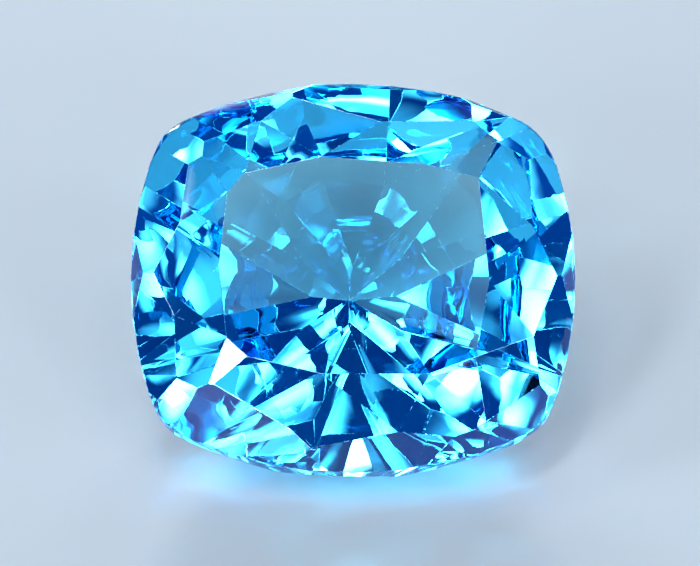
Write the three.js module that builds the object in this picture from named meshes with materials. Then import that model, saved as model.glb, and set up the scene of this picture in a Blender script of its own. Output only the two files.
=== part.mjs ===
// A cushion-cut topaz gemstone: one solid, ground as a stack of flat facets.
// Millimetres. The stone is laid out with its table level and its point down, each facet a plane,
// and is then turned so that it lies on its front lower pavilion facet, table leaning towards -Y.
import * as THREE from "three";

// ---- driving dimensions (mm, degrees) ----
const HALF_WIDTH = 7.0; // along X
const HALF_DEPTH = 6.31; // across, front to back
const SIDE_RADIUS_FRONT_BACK = 12.6; // bulge of the two long sides
const SIDE_RADIUS_LEFT_RIGHT = 12.15; // bulge of the two short sides
const CORNER_RADIUS = { backRight: 2.4, frontRight: 2.0, frontLeft: 2.0, backLeft: 1.6 };
const CROWN_HEIGHT = 1.7; // girdle edge to table
const GIRDLE_THICKNESS = 0.6;
const GIRDLE_FLATS = 60;
const PAVILION_DEPTH = 6.15; // girdle to the point that the lowest tier aims at
const CULET_OFFSET = new THREE.Vector3(-0.1, 0.05, 0); // from the axis, to the left and back
const RING_LIFT = 0.25; // how much shallower the rings run where the girdle is farther out, as a power

// Crown meet points, clockwise from the back left. Each table corner opens a main (kite) facet, and
// each star facet stands over one table edge, from this corner to the next, and ends at its tip.
const CROWN = [
  { corner: [-3.95, 2.3], starTip: [-4.75, 3.65], starSlope: 20 },
  { corner: [-3.4, 2.93], starTip: [-2.9, 4.85], starSlope: 22 },
  { corner: [-1.03, 3.46], starTip: [0.87, 4.75], starSlope: 20 },
  { corner: [2.26, 3.22], starTip: [4.55, 4.1], starSlope: 21 },
  { corner: [3.94, 2.78], starTip: [5.65, 1.35], starSlope: 19 },
  { corner: [4.26, -0.55], starTip: [5.65, -2.2], starSlope: 19 },
  { corner: [3.82, -3.0], starTip: [4.15, -4.9], starSlope: 21 },
  { corner: [2.39, -3.54], starTip: [1.41, -5.26], starSlope: 19 },
  { corner: [-1.0, -3.53], starTip: [-1.95, -5.15], starSlope: 22 },
  { corner: [-3.3, -2.98], starTip: [-4.6, -3.95], starSlope: 20 },
  { corner: [-3.95, -2.35], starTip: [-5.6, -1.55], starSlope: 19 },
  { corner: [-4.2, -0.05], starTip: [-5.45, 1.45], starSlope: 19 },
];
// Crown girdle facets run from a star tip down to the girdle: the star they start from, and azimuths.
const CROWN_GIRDLE_FACETS = [
  [0, -52], [1, -22], [2, 5], [3, 30], [3, 50], [4, 76], [5, 103],
  [6, 131], [6, 152], [7, 177], [8, 203], [9, 229], [10, 256], [11, 285],
];
// Small triangles that take the tips off the mains at the girdle: azimuth, slope.
const TIP_FACETS = [
  [-65, 55], [-38, 55], [-14, 60], [24, 60], [62, 55], [90, 60],
  [118, 55], [162, 60], [190, 60], [216, 55], [243, 55], [270, 60],
];
const TIP_DROP = 0.05; // how far below the girdle edge they reach

// Pavilion tiers. A tier's facets pass through two rings, each a share of the girdle radius and a depth
// below the girdle at the front. The rings follow the cushion outline and drift towards the culet as
// they shrink. Azimuths of a tier's facets are counted from the front.
const RINGS = [
  { share: 1.0, depth: 0.0 },
  { share: 0.93, depth: 1.15 },
  { share: 0.67, depth: 2.65 },
  { share: 0.37, depth: 4.25 },
  { share: 0.0, depth: PAVILION_DEPTH },
];
const PAVILION_TIERS = [
  { count: 20, first: 2 },
  { count: 10, first: 16 },
  { count: 10, first: 0 },
  { count: 10, first: 21.5 },
];
const REST = { tier: 2, azimuth: 180 }; // the pavilion facet that the stone lies on

// ---- outline: four side arcs joined by four corner arcs, all tangent ----
const DEG = Math.PI / 180;
function cornerCentre(radius) {
  // The centre lies (side radius - corner radius) from both side centres: step onto each circle in turn.
  const side = new THREE.Vector2(0, HALF_DEPTH - SIDE_RADIUS_FRONT_BACK);
  const end = new THREE.Vector2(HALF_WIDTH - SIDE_RADIUS_LEFT_RIGHT, 0);
  const reachSide = SIDE_RADIUS_FRONT_BACK - radius;
  const reachEnd = SIDE_RADIUS_LEFT_RIGHT - radius;
  const c = new THREE.Vector2(HALF_WIDTH - radius, HALF_DEPTH - radius);
  for (let i = 0; i < 200; i++) {
    c.sub(side).setLength(reachSide).add(side);
    c.sub(end).setLength(reachEnd).add(end);
  }
  return c;
}
const CORNERS = Object.fromEntries(
  Object.entries(CORNER_RADIUS).map(([name, radius]) => [name, { radius, centre: cornerCentre(radius) }]),
);
// Distance from the axis to the girdle's tangent line at an azimuth, clockwise from the back (+Y).
function girdleRadius(azimuth) {
  const sx = Math.sin(azimuth * DEG);
  const sy = Math.cos(azimuth * DEG);
  const name = (sy >= 0 ? "back" : "front") + (sx >= 0 ? "Right" : "Left");
  const { radius, centre } = CORNERS[name];
  const ax = Math.abs(sx);
  const ay = Math.abs(sy);
  const turn = Math.atan2(ax, ay);
  if (turn < Math.atan2(centre.x, centre.y - HALF_DEPTH + SIDE_RADIUS_FRONT_BACK))
    return SIDE_RADIUS_FRONT_BACK + (HALF_DEPTH - SIDE_RADIUS_FRONT_BACK) * ay;
  if (turn > Math.atan2(centre.x - HALF_WIDTH + SIDE_RADIUS_LEFT_RIGHT, centre.y))
    return SIDE_RADIUS_LEFT_RIGHT + (HALF_WIDTH - SIDE_RADIUS_LEFT_RIGHT) * ax;
  return radius + centre.x * ax + centre.y * ay;
}

// ---- facets, as planes whose normals point out of the stone ----
const facets = [];
const outward = (azimuth) => new THREE.Vector3(Math.sin(azimuth * DEG), Math.cos(azimuth * DEG), 0);
// A facet facing an azimuth, its slope measured from the table plane (negative below the girdle).
function facet(azimuth, slope, point) {
  const normal = outward(azimuth)
    .multiplyScalar(Math.sin(Math.abs(slope) * DEG))
    .setZ(Math.sign(slope) * Math.cos(slope * DEG));
  facets.push(new THREE.Plane().setFromNormalAndCoplanarPoint(normal, point));
}
function facetThrough(a, b, c) {
  const plane = new THREE.Plane().setFromCoplanarPoints(a, b, c);
  if (plane.normal.z < 0) plane.negate();
  facets.push(plane);
}

// Table and crown.
const corners = CROWN.map(({ corner }) => new THREE.Vector3(...corner, CROWN_HEIGHT));
facets.push(new THREE.Plane(new THREE.Vector3(0, 0, 1), -CROWN_HEIGHT));
const starTips = CROWN.map(({ starTip, starSlope }, i) => {
  const next = corners[(i + 1) % corners.length];
  const along = next.clone().sub(corners[i]).normalize();
  const out = new THREE.Vector3(-along.y, along.x, 0);
  const tip = new THREE.Vector3(...starTip, CROWN_HEIGHT);
  const reach = tip.clone().sub(corners[i]).dot(out);
  tip.z -= Math.abs(reach) * Math.tan(starSlope * DEG);
  facetThrough(corners[i], next, tip);
  return tip;
});
corners.forEach((corner, i) => facetThrough(corner, starTips.at(i - 1), starTips[i]));
for (const [star, azimuth] of CROWN_GIRDLE_FACETS) {
  const tip = starTips[star];
  const run = girdleRadius(azimuth) - tip.dot(outward(azimuth));
  facet(azimuth, Math.atan2(tip.z, run) / DEG, tip);
}
for (const [azimuth, slope] of TIP_FACETS)
  facet(azimuth, slope, outward(azimuth).multiplyScalar(girdleRadius(azimuth)).setZ(-TIP_DROP));

// Girdle.
for (let i = 0; i < GIRDLE_FLATS; i++) {
  const azimuth = ((i + 0.5) * 360) / GIRDLE_FLATS;
  facets.push(new THREE.Plane(outward(azimuth), -girdleRadius(azimuth)));
}

// Pavilion.
const reachFromCulet = (azimuth) => girdleRadius(azimuth) - CULET_OFFSET.dot(outward(azimuth));
function ringPoint({ share, depth }, azimuth) {
  const lift = share > 0 ? (reachFromCulet(180) / reachFromCulet(azimuth)) ** RING_LIFT : 1;
  return outward(azimuth)
    .multiplyScalar(share * girdleRadius(azimuth))
    .addScaledVector(CULET_OFFSET, 1 - share)
    .setZ(-GIRDLE_THICKNESS - depth * lift);
}
function pavilionSlope(tier, azimuth) {
  const climb = ringPoint(RINGS[tier], azimuth).sub(ringPoint(RINGS[tier + 1], azimuth));
  return Math.atan2(climb.z, climb.dot(outward(azimuth))) / DEG;
}
PAVILION_TIERS.forEach(({ count, first }, tier) => {
  for (let i = 0; i < count; i++) {
    const azimuth = 180 + first + (i * 360) / count;
    facet(azimuth, -pavilionSlope(tier, azimuth), ringPoint(RINGS[tier + 1], azimuth));
  }
});

// ---- the solid that all the facets leave ----
const MEET = 1e-6; // mm: planes this close to a point meet in it
function meetPoints(planes) {
  const points = [];
  const matrix = new THREE.Matrix3();
  for (let i = 0; i < planes.length; i++)
    for (let j = i + 1; j < planes.length; j++)
      for (let k = j + 1; k < planes.length; k++) {
        const [a, b, c] = [planes[i], planes[j], planes[k]];
        const [n, m, o] = [a.normal, b.normal, c.normal];
        matrix.set(n.x, n.y, n.z, m.x, m.y, m.z, o.x, o.y, o.z);
        if (Math.abs(matrix.determinant()) < 1e-7) continue;
        const p = new THREE.Vector3(-a.constant, -b.constant, -c.constant).applyMatrix3(matrix.invert());
        if (planes.some((plane) => plane.distanceToPoint(p) > MEET)) continue;
        if (!points.some((q) => q.distanceTo(p) < 100 * MEET)) points.push(p);
      }
  return points;
}
function polyhedron(planes) {
  const points = meetPoints(planes);
  const positions = [];
  for (const plane of planes) {
    const rim = points.filter((p) => Math.abs(plane.distanceToPoint(p)) < 10 * MEET);
    if (rim.length < 3) continue;
    const centre = rim.reduce((sum, p) => sum.add(p), new THREE.Vector3()).divideScalar(rim.length);
    const u = rim[0].clone().sub(centre).normalize();
    const v = plane.normal.clone().cross(u);
    const turn = (p) => Math.atan2(p.clone().sub(centre).dot(v), p.clone().sub(centre).dot(u));
    rim.sort((p, q) => turn(p) - turn(q));
    for (let i = 2; i < rim.length; i++)
      for (const p of [rim[0], rim[i - 1], rim[i]]) positions.push(p.x, p.y, p.z);
  }
  return new THREE.BufferGeometry().setAttribute("position", new THREE.Float32BufferAttribute(positions, 3));
}
const geometry = polyhedron(facets);

// ---- rest: roll the stone onto its front lower pavilion facet and set its box over the origin ----
geometry.rotateX(pavilionSlope(REST.tier, REST.azimuth) * DEG);
geometry.computeBoundingBox();
const { min, max } = geometry.boundingBox;
geometry.translate(-(min.x + max.x) / 2, -(min.y + max.y) / 2, -min.z);
geometry.computeVertexNormals();

const topaz = new THREE.Mesh(
  geometry,
  new THREE.MeshStandardMaterial({ name: "blue_topaz", color: 0x2fb4ee, roughness: 0.05, metalness: 0 }),
);
topaz.name = "cushion_cut_topaz";

const stone = new THREE.Group();
stone.name = "topaz";
stone.add(topaz);
export default stone;
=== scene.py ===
"""A cushion-cut blue topaz, lying on one facet of its pavilion on a pale table top.

Laid out as a Blender add-on and run as a script. Metres, +Z up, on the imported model's frame.
"""

import math

import bmesh
import bpy
from mathutils import Matrix, Vector


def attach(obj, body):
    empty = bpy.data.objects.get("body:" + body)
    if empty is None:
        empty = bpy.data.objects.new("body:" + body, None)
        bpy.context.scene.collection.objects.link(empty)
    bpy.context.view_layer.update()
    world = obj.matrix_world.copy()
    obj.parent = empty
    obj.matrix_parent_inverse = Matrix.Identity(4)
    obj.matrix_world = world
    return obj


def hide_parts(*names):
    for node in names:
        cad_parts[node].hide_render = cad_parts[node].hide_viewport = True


bl_info = {
    "name": "Cushion-Cut Topaz",
    "version": (1, 0, 0),
    "blender": (4, 5, 0),
    "location": "3D View > Sidebar > Topaz",
    "description": "Finishes a faceted blue topaz and sets it on a softly lit table top",
    "category": "Object",
}

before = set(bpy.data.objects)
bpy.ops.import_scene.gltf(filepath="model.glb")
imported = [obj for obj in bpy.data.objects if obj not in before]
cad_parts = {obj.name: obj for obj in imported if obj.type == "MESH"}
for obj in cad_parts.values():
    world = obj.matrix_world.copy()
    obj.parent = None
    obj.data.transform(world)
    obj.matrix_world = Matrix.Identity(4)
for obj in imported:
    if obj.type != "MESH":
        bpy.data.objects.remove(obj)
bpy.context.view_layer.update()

MM = 0.001
STONE_NODE = "cushion_cut_topaz"
PICTURE_WIDTH = 700  # pixels
PICTURE_HEIGHT = 566

# Lengths and angles that sort the facets, in millimetres and radians.
WELD_DISTANCE = 0.0005  # corners closer than this are one corner
SAME_FACET = math.radians(0.05)  # faces that turn less than this belong to one facet
SOFT_EDGE = math.radians(1.0)  # half turn below which an edge is too blunt to wear
UPRIGHT = 0.02  # cosine to the table's normal under which a facet belongs to the girdle
FACING = 0.999  # cosine above which a facet faces a direction squarely

TABLE_TOP_SIDE = 5.0  # metres
LIGHT_BOUNCES = 24


# ---------------------------------------------------------------- small helpers
def socket_link(tree, source, target):
    """Runs an output socket into an input socket."""
    tree.links.new(source, target)


def add_node(tree, kind, **values):
    """A shader node with some of its input sockets set by name."""
    node = tree.nodes.new(kind)
    for name, value in values.items():
        node.inputs[name.replace("_", " ")].default_value = value
    return node


def math_node(tree, operation, *values):
    """The output of a Math node whose inputs are sockets or plain numbers."""
    node = tree.nodes.new("ShaderNodeMath")
    node.operation = operation
    for slot, value in zip(node.inputs, values):
        if isinstance(value, bpy.types.NodeSocket):
            tree.links.new(value, slot)
        else:
            slot.default_value = value
    return node.outputs["Value"]


def new_material(name):
    """An empty node material and its output node."""
    material = bpy.data.materials.new(name)
    material.use_nodes = True
    tree = material.node_tree
    tree.nodes.clear()
    output = tree.nodes.new("ShaderNodeOutputMaterial")
    return material, tree, output


def add_object(name, data):
    """A new object in the scene that shows the given mesh or camera."""
    thing = bpy.data.objects.new(name, data)
    bpy.context.scene.collection.objects.link(thing)
    return thing


def direction(azimuth, elevation):
    """Unit vector from the stone: azimuth 0 points at the viewer (-Y) and 90 at +X, radians."""
    flat = math.cos(elevation)
    return Vector((math.sin(azimuth) * flat, -math.cos(azimuth) * flat, math.sin(elevation)))


# ---------------------------------------------------------------- what a user would change
class TopazStoneSettings(bpy.types.PropertyGroup):
    """Cut finish and body colour of the stone."""

    edge_width: bpy.props.FloatProperty(
        name="Edge width",
        description="Width of the tiny flat worn along each facet edge",
        default=0.014 * MM, min=0.0, precision=6, unit="LENGTH",
    )
    girdle_edge_width: bpy.props.FloatProperty(
        name="Girdle edge width",
        description="Width of the worn edge above and below the girdle",
        default=0.035 * MM, min=0.0, precision=6, unit="LENGTH",
    )
    dome_tilt: bpy.props.FloatProperty(
        name="Facet dome",
        description="How far a facet's surface leans outward at its rim",
        default=math.radians(1.3), min=0.0, subtype="ANGLE", unit="ROTATION",
    )
    table_dome_tilt: bpy.props.FloatProperty(
        name="Table dome",
        description="The same for the table, which is polished flatter",
        default=math.radians(0.2), min=0.0, subtype="ANGLE", unit="ROTATION",
    )
    refractive_index: bpy.props.FloatProperty(
        name="Refractive index",
        description="Topaz bends light by 1.61 to 1.64",
        default=1.62, min=1.0, max=3.0,
    )
    body_colour: bpy.props.FloatVectorProperty(
        name="Body colour",
        description="Colour that the clear body lets through best",
        subtype="COLOR", size=3, default=(0.08, 0.83, 0.99), min=0.0, max=1.0,
    )
    body_density: bpy.props.FloatProperty(
        name="Body density",
        description="Absorption for a metre of stone",
        default=200.0, min=0.0,
    )


class TopazStageSettings(bpy.types.PropertyGroup):
    """Table top, light tent and camera."""

    table_colour: bpy.props.FloatVectorProperty(
        name="Table top colour",
        description="Pale blue-grey of the surface under the stone",
        subtype="COLOR", size=3, default=(0.226, 0.252, 0.277), min=0.0, max=1.0,
    )
    backdrop_colour: bpy.props.FloatVectorProperty(
        name="Backdrop colour",
        description="Pale blue-grey behind the table top, as bright as the table top looks",
        subtype="COLOR", size=3, default=(0.58, 0.69, 0.81), min=0.0, max=1.0,
    )
    cloth_colour: bpy.props.FloatVectorProperty(
        name="Tent cloth colour",
        description="Colour of the dim light between the soft boxes",
        subtype="COLOR", size=3, default=(0.0, 0.25, 1.0), min=0.0, max=1.0,
    )
    box_colour: bpy.props.FloatVectorProperty(
        name="Soft box colour",
        description="Cool white of the soft boxes",
        subtype="COLOR", size=3, default=(0.93, 0.99, 1.0), min=0.0, max=1.0,
    )
    cloth_brightness: bpy.props.FloatProperty(
        name="Tent cloth brightness",
        description="Light of the tent's cloth at the height of the table",
        default=0.38, min=0.0,
    )
    cloth_top_brightness: bpy.props.FloatProperty(
        name="Tent top brightness",
        description="Light of the tent's cloth overhead",
        default=0.18, min=0.0,
    )
    fold_scale: bpy.props.FloatProperty(
        name="Fold scale",
        description="How closely the bright spots of the cloth stand",
        default=7.0, min=0.1,
    )
    table_gap: bpy.props.FloatProperty(
        name="Table gap",
        description="Thin gap under the facet that the stone lies on",
        default=0.02 * MM, min=0.0, precision=6, unit="LENGTH",
    )
    camera_elevation: bpy.props.FloatProperty(
        name="Camera elevation",
        description="Height of the view above the table top",
        default=math.radians(36.0), subtype="ANGLE", unit="ROTATION",
    )
    focal_length: bpy.props.FloatProperty(
        name="Focal length",
        description="Long macro lens, so that the stone is seen almost without perspective",
        default=300.0, min=20.0, subtype="DISTANCE_CAMERA",
    )


# ---------------------------------------------------------------- the stone
def flat_facets(mesh):
    """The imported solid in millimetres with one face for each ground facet."""
    bm = bmesh.new()
    bm.from_mesh(mesh)
    bmesh.ops.transform(bm, matrix=Matrix.Scale(1 / MM, 4), verts=bm.verts)
    bmesh.ops.remove_doubles(bm, verts=bm.verts, dist=WELD_DISTANCE)
    bmesh.ops.dissolve_limit(
        bm, angle_limit=SAME_FACET, verts=bm.verts, edges=bm.edges,
        delimit=set(), use_dissolve_boundaries=False,
    )
    bmesh.ops.recalc_face_normals(bm, faces=bm.faces)
    bm.normal_update()
    return bm


def table_normal(bm):
    """Outward normal of the largest facet, which is the table."""
    return max(bm.faces, key=lambda face: face.calc_area()).normal.copy()


def edge_cuts(bm, width, girdle_width):
    """A cutting plane for each facet edge, as (point, normal), deep enough to leave a flat that wide."""
    up = table_normal(bm)
    cuts = []
    for edge in bm.edges:
        first, second = (face.normal for face in edge.link_faces)
        half_turn = first.angle(second) / 2
        if half_turn < SOFT_EDGE:
            continue
        girdle_sides = sum(abs(side.dot(up)) < UPRIGHT for side in (first, second))
        flat = girdle_width if girdle_sides == 1 else width
        normal = (first + second).normalized()
        middle = (edge.verts[0].co + edge.verts[1].co) / 2
        cuts.append((middle - normal * flat * math.tan(half_turn) / 2, normal))
    return cuts


def cut_edges(bm, cuts):
    """Grinds each edge off along its plane and marks the new flats."""
    worn = bm.faces.layers.float.new("worn_edge")
    for point, normal in cuts:
        result = bmesh.ops.bisect_plane(
            bm, geom=bm.verts[:] + bm.edges[:] + bm.faces[:], dist=1e-6,
            plane_co=point, plane_no=normal, clear_outer=True,
        )
        rim = [item for item in result["geom_cut"] if isinstance(item, bmesh.types.BMEdge)]
        open_rim = [edge for edge in rim if len(edge.link_faces) == 1]
        if len(open_rim) < 3:
            continue
        for face in bmesh.ops.edgeloop_fill(bm, edges=open_rim)["faces"]:
            face[worn] = 1.0
    bmesh.ops.recalc_face_normals(bm, faces=bm.faces)


# Rings of the shallow dome on each facet, as shares of the way from its middle to its rim.
DOME_RINGS = (0.75, 0.4)


def dome(bm, face, tilt):
    """Swaps a flat facet for a shallow dome whose surface leans outward by the tilt at its rim."""
    rim = face.verts[:]
    middle = face.calc_center_median()
    height = math.sqrt(face.calc_area() / math.pi) * math.tan(tilt) / 2
    rings = [rim]
    for share in DOME_RINGS:
        lift = face.normal * height * (1 - share * share)
        rings.append([bm.verts.new(middle.lerp(vert.co, share) + lift) for vert in rim])
    top = bm.verts.new(middle + face.normal * height)
    for outer, inner in zip(rings, rings[1:]):
        for i in range(len(rim)):
            bm.faces.new((outer[i - 1], outer[i], inner[i], inner[i - 1])).smooth = True
    for i in range(len(rim)):
        bm.faces.new((rings[-1][i - 1], rings[-1][i], top)).smooth = True


def dome_facets(bm, tilt, table_tilt):
    """Domes each facet slightly, as a soft lap leaves it, but not the one that the stone lies on."""
    worn = bm.faces.layers.float["worn_edge"]
    up = table_normal(bm)
    for edge in bm.edges:
        edge.smooth = False
    flat = [face for face in bm.faces if not face[worn] and face.normal.z > -FACING]
    for face in flat:
        dome(bm, face, table_tilt if face.normal.dot(up) > FACING else tilt)
    bmesh.ops.delete(bm, geom=flat, context="FACES_ONLY")
    bm.normal_update()


def topaz_material(settings):
    """Clear blue topaz: plain refraction and absorption, polishing waves, and frosted worn edges."""
    material, tree, output = new_material("blue_topaz")
    place = tree.nodes.new("ShaderNodeTexCoord")

    # Lap waves: broad, a few tenths of a micron deep.
    waves = add_node(tree, "ShaderNodeTexNoise", Scale=900.0, Detail=2.0, Roughness=0.5)
    socket_link(tree, place.outputs["Object"], waves.inputs["Vector"])
    bump = add_node(tree, "ShaderNodeBump", Strength=0.6, Distance=0.0000006)
    socket_link(tree, waves.outputs["Fac"], bump.inputs["Height"])

    # Polish: almost mirror-like, a little hazier in patches.
    haze = add_node(tree, "ShaderNodeTexNoise", Scale=2600.0, Detail=4.0, Roughness=0.6)
    socket_link(tree, place.outputs["Object"], haze.inputs["Vector"])
    polish = add_node(tree, "ShaderNodeMapRange", From_Min=0.45, From_Max=0.75, To_Min=0.0, To_Max=0.012)
    socket_link(tree, haze.outputs["Fac"], polish.inputs["Value"])

    # Wear: the flats along the edges are frosted where the grit of handling has caught them.
    worn = tree.nodes.new("ShaderNodeAttribute")
    worn.attribute_name = "worn_edge"
    chips = add_node(tree, "ShaderNodeTexNoise", Scale=5200.0, Detail=3.0, Roughness=0.7)
    socket_link(tree, place.outputs["Object"], chips.inputs["Vector"])
    frost = add_node(tree, "ShaderNodeMapRange", From_Min=0.5, From_Max=0.62, To_Min=0.02, To_Max=0.4)
    socket_link(tree, chips.outputs["Fac"], frost.inputs["Value"])
    edge_frost = math_node(tree, "MULTIPLY", worn.outputs["Fac"], frost.outputs["Result"])

    # Dust: specks two or three hundredths of a millimetre across, in about one cell of five.
    cells = add_node(tree, "ShaderNodeTexVoronoi", Scale=1400.0)
    socket_link(tree, place.outputs["Object"], cells.inputs["Vector"])
    speck = add_node(tree, "ShaderNodeMapRange", From_Min=0.025, From_Max=0.04, To_Min=0.5, To_Max=0.0)
    socket_link(tree, cells.outputs["Distance"], speck.inputs["Value"])
    chosen = math_node(tree, "GREATER_THAN", cells.outputs["Color"], 0.8)
    dust = math_node(tree, "MULTIPLY", speck.outputs["Result"], chosen)

    finish = math_node(tree, "MAXIMUM", polish.outputs["Result"], edge_frost)
    roughness = math_node(tree, "MAXIMUM", finish, dust)

    surface = tree.nodes.new("ShaderNodeBsdfPrincipled")
    surface.inputs["Base Color"].default_value = (1.0, 1.0, 1.0, 1.0)
    surface.inputs["IOR"].default_value = settings.refractive_index
    surface.inputs["Transmission Weight"].default_value = 1.0
    socket_link(tree, roughness, surface.inputs["Roughness"])
    socket_link(tree, bump.outputs["Normal"], surface.inputs["Normal"])
    socket_link(tree, surface.outputs["BSDF"], output.inputs["Surface"])

    body = tree.nodes.new("ShaderNodeVolumeAbsorption")
    body.inputs["Color"].default_value = (*settings.body_colour, 1.0)
    body.inputs["Density"].default_value = settings.body_density
    socket_link(tree, body.outputs["Volume"], output.inputs["Volume"])
    return material


class TOPAZ_OT_stone(bpy.types.Operator):
    """Grind the worn edges of the faceted stone and give it its clear blue body"""

    bl_idname = "topaz.stone"
    bl_label = "Cushion-cut stone"

    def execute(self, context):
        settings = context.scene.topaz_stone
        bm = flat_facets(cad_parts[STONE_NODE].data)
        cuts = edge_cuts(bm, settings.edge_width / MM, settings.girdle_edge_width / MM)
        cut_edges(bm, cuts)
        dome_facets(bm, settings.dome_tilt, settings.table_dome_tilt)
        bmesh.ops.transform(bm, matrix=Matrix.Scale(MM, 4), verts=bm.verts)
        mesh = bpy.data.meshes.new("cut_stone")
        bm.to_mesh(mesh)
        bm.free()
        mesh.materials.append(topaz_material(settings))
        stone = add_object("cut_stone", mesh)
        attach(stone, "root")
        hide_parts(STONE_NODE)
        return {"FINISHED"}


# ---------------------------------------------------------------- the stage
def table_top(settings):
    """A wide pale sheet under the stone."""
    bm = bmesh.new()
    bmesh.ops.create_grid(bm, x_segments=1, y_segments=1, size=TABLE_TOP_SIDE / 2)
    mesh = bpy.data.meshes.new("table_top")
    bm.to_mesh(mesh)
    bm.free()
    material, tree, output = new_material("pale_table_top")
    place = tree.nodes.new("ShaderNodeTexCoord")
    grain = add_node(tree, "ShaderNodeTexNoise", Scale=1500.0, Detail=4.0, Roughness=0.6)
    socket_link(tree, place.outputs["Object"], grain.inputs["Vector"])
    bump = add_node(tree, "ShaderNodeBump", Strength=0.08, Distance=0.00002)
    socket_link(tree, grain.outputs["Fac"], bump.inputs["Height"])
    surface = add_node(tree, "ShaderNodeBsdfPrincipled", Roughness=0.6)
    surface.inputs["Base Color"].default_value = (*settings.table_colour, 1.0)
    surface.inputs["Specular IOR Level"].default_value = 0.2
    socket_link(tree, bump.outputs["Normal"], surface.inputs["Normal"])
    socket_link(tree, surface.outputs["BSDF"], output.inputs["Surface"])
    mesh.materials.append(material)
    top = add_object("table_top", mesh)
    top.location.z = -settings.table_gap


# Soft boxes of the light tent round the stone, with azimuth 0 at the viewer and 90 to the right:
# azimuth, elevation and half width in degrees, and brightness.
SOFT_BOXES = (
    # in front, low
    (333.0, 3.0, 14.0, 40.0),
    (305.0, 6.0, 9.0, 18.0),
    (62.0, 5.0, 9.0, 16.0),
    (36.0, 6.0, 10.0, 20.0),
    # in front and at the sides, half way up
    (38.0, 38.0, 9.0, 15.0),
    (325.0, 26.0, 10.0, 22.0),
    (320.0, 42.0, 9.0, 16.0),
    (31.0, 22.0, 10.0, 15.0),
    (58.0, 28.0, 9.0, 12.0),
    (347.0, 41.0, 7.0, 12.0),
    (270.0, 38.0, 11.0, 15.0),
    (286.0, 25.0, 8.0, 14.0),
    (78.0, 24.0, 9.0, 10.0),
    (12.0, 29.0, 8.0, 17.0),
    # high in front, and overhead
    (310.0, 53.0, 9.0, 14.0),
    (15.0, 52.0, 8.0, 16.0),
    (344.0, 53.0, 7.0, 14.0),
    (60.0, 57.0, 7.0, 10.0),
    (32.0, 66.0, 8.0, 22.0),
    (329.0, 65.0, 8.0, 22.0),
    (324.0, 80.0, 11.0, 28.0),
    # behind
    (180.0, 54.0, 5.0, 16.0),
    (191.0, 28.0, 9.0, 20.0),
    (165.0, 38.0, 7.0, 15.0),
    (184.0, 14.0, 10.0, 58.0),
    (150.0, 12.0, 11.0, 48.0),
    (210.0, 12.0, 11.0, 48.0),
)


def soft_box(tree, looking, azimuth, elevation, half_width, brightness):
    """Light of one soft box, brightest in its middle and fading out at its edge."""
    middle = direction(math.radians(azimuth), math.radians(elevation))
    aim = tree.nodes.new("ShaderNodeVectorMath")
    aim.operation = "DOT_PRODUCT"
    aim.inputs[1].default_value = middle
    socket_link(tree, looking, aim.inputs[0])
    rim = math.cos(math.radians(half_width))
    glow = add_node(tree, "ShaderNodeMapRange", From_Min=rim, To_Max=brightness)
    glow.interpolation_type = "SMOOTHSTEP"
    socket_link(tree, aim.outputs["Value"], glow.inputs["Value"])
    return glow.outputs["Result"]


def light_tent(settings):
    """A dim blue tent, lit through its cloth by the soft boxes."""
    world = bpy.data.worlds.new("light_tent")
    world.use_nodes = True
    tree = world.node_tree
    tree.nodes.clear()
    output = tree.nodes.new("ShaderNodeOutputWorld")
    looking = tree.nodes.new("ShaderNodeTexCoord").outputs["Generated"]

    height = tree.nodes.new("ShaderNodeSeparateXYZ")
    socket_link(tree, looking, height.inputs["Vector"])
    fade = add_node(
        tree, "ShaderNodeMapRange",
        To_Min=settings.cloth_brightness, To_Max=settings.cloth_top_brightness,
    )
    socket_link(tree, height.outputs["Z"], fade.inputs["Value"])
    cloth = tree.nodes.new("ShaderNodeBackground")
    cloth.inputs["Color"].default_value = (*settings.cloth_colour, 1.0)
    socket_link(tree, fade.outputs["Result"], cloth.inputs["Strength"])

    glows = [soft_box(tree, looking, *box) for box in SOFT_BOXES]
    light = glows[0]
    for glow in glows[1:]:
        light = math_node(tree, "ADD", light, glow)
    # The cloth in front of the boxes hangs unevenly: their light is doubled in the middle of each soft
    # spot, and a tenth of it is left between the spots.
    folds = add_node(tree, "ShaderNodeTexVoronoi", Scale=settings.fold_scale)
    socket_link(tree, looking, folds.inputs["Vector"])
    spots = add_node(tree, "ShaderNodeMapRange", From_Min=0.15, From_Max=0.7, To_Min=2.0, To_Max=0.1)
    spots.interpolation_type = "SMOOTHSTEP"
    socket_link(tree, folds.outputs["Distance"], spots.inputs["Value"])
    boxes = tree.nodes.new("ShaderNodeBackground")
    boxes.inputs["Color"].default_value = (*settings.box_colour, 1.0)
    spotted = math_node(tree, "MULTIPLY", light, spots.outputs["Result"])
    socket_link(tree, spotted, boxes.inputs["Strength"])

    both = tree.nodes.new("ShaderNodeAddShader")
    socket_link(tree, cloth.outputs["Background"], both.inputs[0])
    socket_link(tree, boxes.outputs["Background"], both.inputs[1])

    # Past the table's far edge the camera sees a plain pale backdrop in place of the tent.
    backdrop = tree.nodes.new("ShaderNodeBackground")
    backdrop.inputs["Color"].default_value = (*settings.backdrop_colour, 1.0)
    seen = tree.nodes.new("ShaderNodeMixShader")
    socket_link(tree, tree.nodes.new("ShaderNodeLightPath").outputs["Is Camera Ray"], seen.inputs["Fac"])
    socket_link(tree, both.outputs["Shader"], seen.inputs[1])
    socket_link(tree, backdrop.outputs["Background"], seen.inputs[2])
    socket_link(tree, seen.outputs["Shader"], output.inputs["Surface"])
    bpy.context.scene.world = world


# Where the stone stands in the picture: the middle of its outline, and its share of the width.
STONE_CENTRE_X = 353.0
STONE_CENTRE_Y = 279.0
STONE_SHARE = 440.0 / PICTURE_WIDTH


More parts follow.
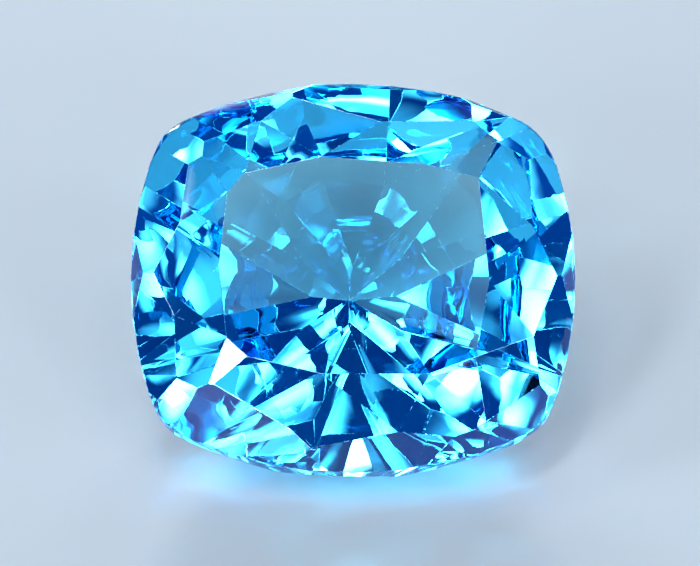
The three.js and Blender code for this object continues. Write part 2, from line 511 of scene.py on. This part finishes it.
def camera(settings):
    """A camera in front of the stone, framing its outline."""
    data = bpy.data.cameras.new("camera")
    data.lens = settings.focal_length
    data.sensor_width = 36.0
    data.clip_start = 0.001
    data.clip_end = 20.0
    thing = add_object("camera", data)
    back = direction(0.0, settings.camera_elevation)
    turn = back.to_track_quat("Z", "Y")
    right, up = turn @ Vector((1, 0, 0)), turn @ Vector((0, 1, 0))
    corners = [vertex.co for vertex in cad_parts[STONE_NODE].data.vertices]
    across = [corner.dot(right) for corner in corners]
    tall = [corner.dot(up) for corner in corners]
    deep = [corner.dot(back) for corner in corners]
    picture_width = (max(across) - min(across)) / STONE_SHARE
    pixel = picture_width / PICTURE_WIDTH
    aim_across = (max(across) + min(across)) / 2 - (STONE_CENTRE_X - PICTURE_WIDTH / 2) * pixel
    aim_tall = (max(tall) + min(tall)) / 2 + (STONE_CENTRE_Y - PICTURE_HEIGHT / 2) * pixel
    aim_deep = (max(deep) + min(deep)) / 2
    distance = picture_width * data.lens / data.sensor_width
    thing.location = right * aim_across + up * aim_tall + back * (aim_deep + distance)
    thing.rotation_mode = "QUATERNION"
    thing.rotation_quaternion = turn
    bpy.context.scene.camera = thing


def light_paths():
    """Enough bounces for light to find its way through the facets, and plain colours."""
    scene = bpy.context.scene
    scene.cycles.max_bounces = LIGHT_BOUNCES
    scene.cycles.transmission_bounces = LIGHT_BOUNCES
    scene.cycles.glossy_bounces = 12
    scene.cycles.diffuse_bounces = 4
    scene.cycles.caustics_refractive = True
    scene.cycles.caustics_reflective = True
    scene.cycles.blur_glossy = 0.0
    scene.cycles.sample_clamp_indirect = 20.0
    scene.view_settings.view_transform = "Standard"


class TOPAZ_OT_stage(bpy.types.Operator):
    """Set out the table top, the light tent and the camera"""

    bl_idname = "topaz.stage"
    bl_label = "Stage"

    def execute(self, context):
        settings = context.scene.topaz_stage
        table_top(settings)
        light_tent(settings)
        camera(settings)
        light_paths()
        return {"FINISHED"}


# ---------------------------------------------------------------- the add-on
class TOPAZ_PT_panel(bpy.types.Panel):
    """Lists the operators that make the stone and its stage"""

    bl_idname = "TOPAZ_PT_panel"
    bl_label = "Cushion-cut topaz"
    bl_space_type = "VIEW_3D"
    bl_region_type = "UI"
    bl_category = "Topaz"

    def draw(self, context):
        layout = self.layout
        for operator in OPERATORS:
            layout.operator(operator.bl_idname)
        for settings, names in (
            (context.scene.topaz_stone, TopazStoneSettings.__annotations__),
            (context.scene.topaz_stage, TopazStageSettings.__annotations__),
        ):
            box = layout.box()
            for name in names:
                box.prop(settings, name)


OPERATORS = (TOPAZ_OT_stone, TOPAZ_OT_stage)
CLASSES = (TopazStoneSettings, TopazStageSettings, *OPERATORS, TOPAZ_PT_panel)


def register():
    for cls in CLASSES:
        bpy.utils.register_class(cls)
    bpy.types.Scene.topaz_stone = bpy.props.PointerProperty(type=TopazStoneSettings)
    bpy.types.Scene.topaz_stage = bpy.props.PointerProperty(type=TopazStageSettings)


def unregister():
    del bpy.types.Scene.topaz_stage
    del bpy.types.Scene.topaz_stone
    for cls in reversed(CLASSES):
        bpy.utils.unregister_class(cls)


def main():
    register()
    bpy.ops.topaz.stone()
    bpy.ops.topaz.stage()


if __name__ == "__main__":
    main()
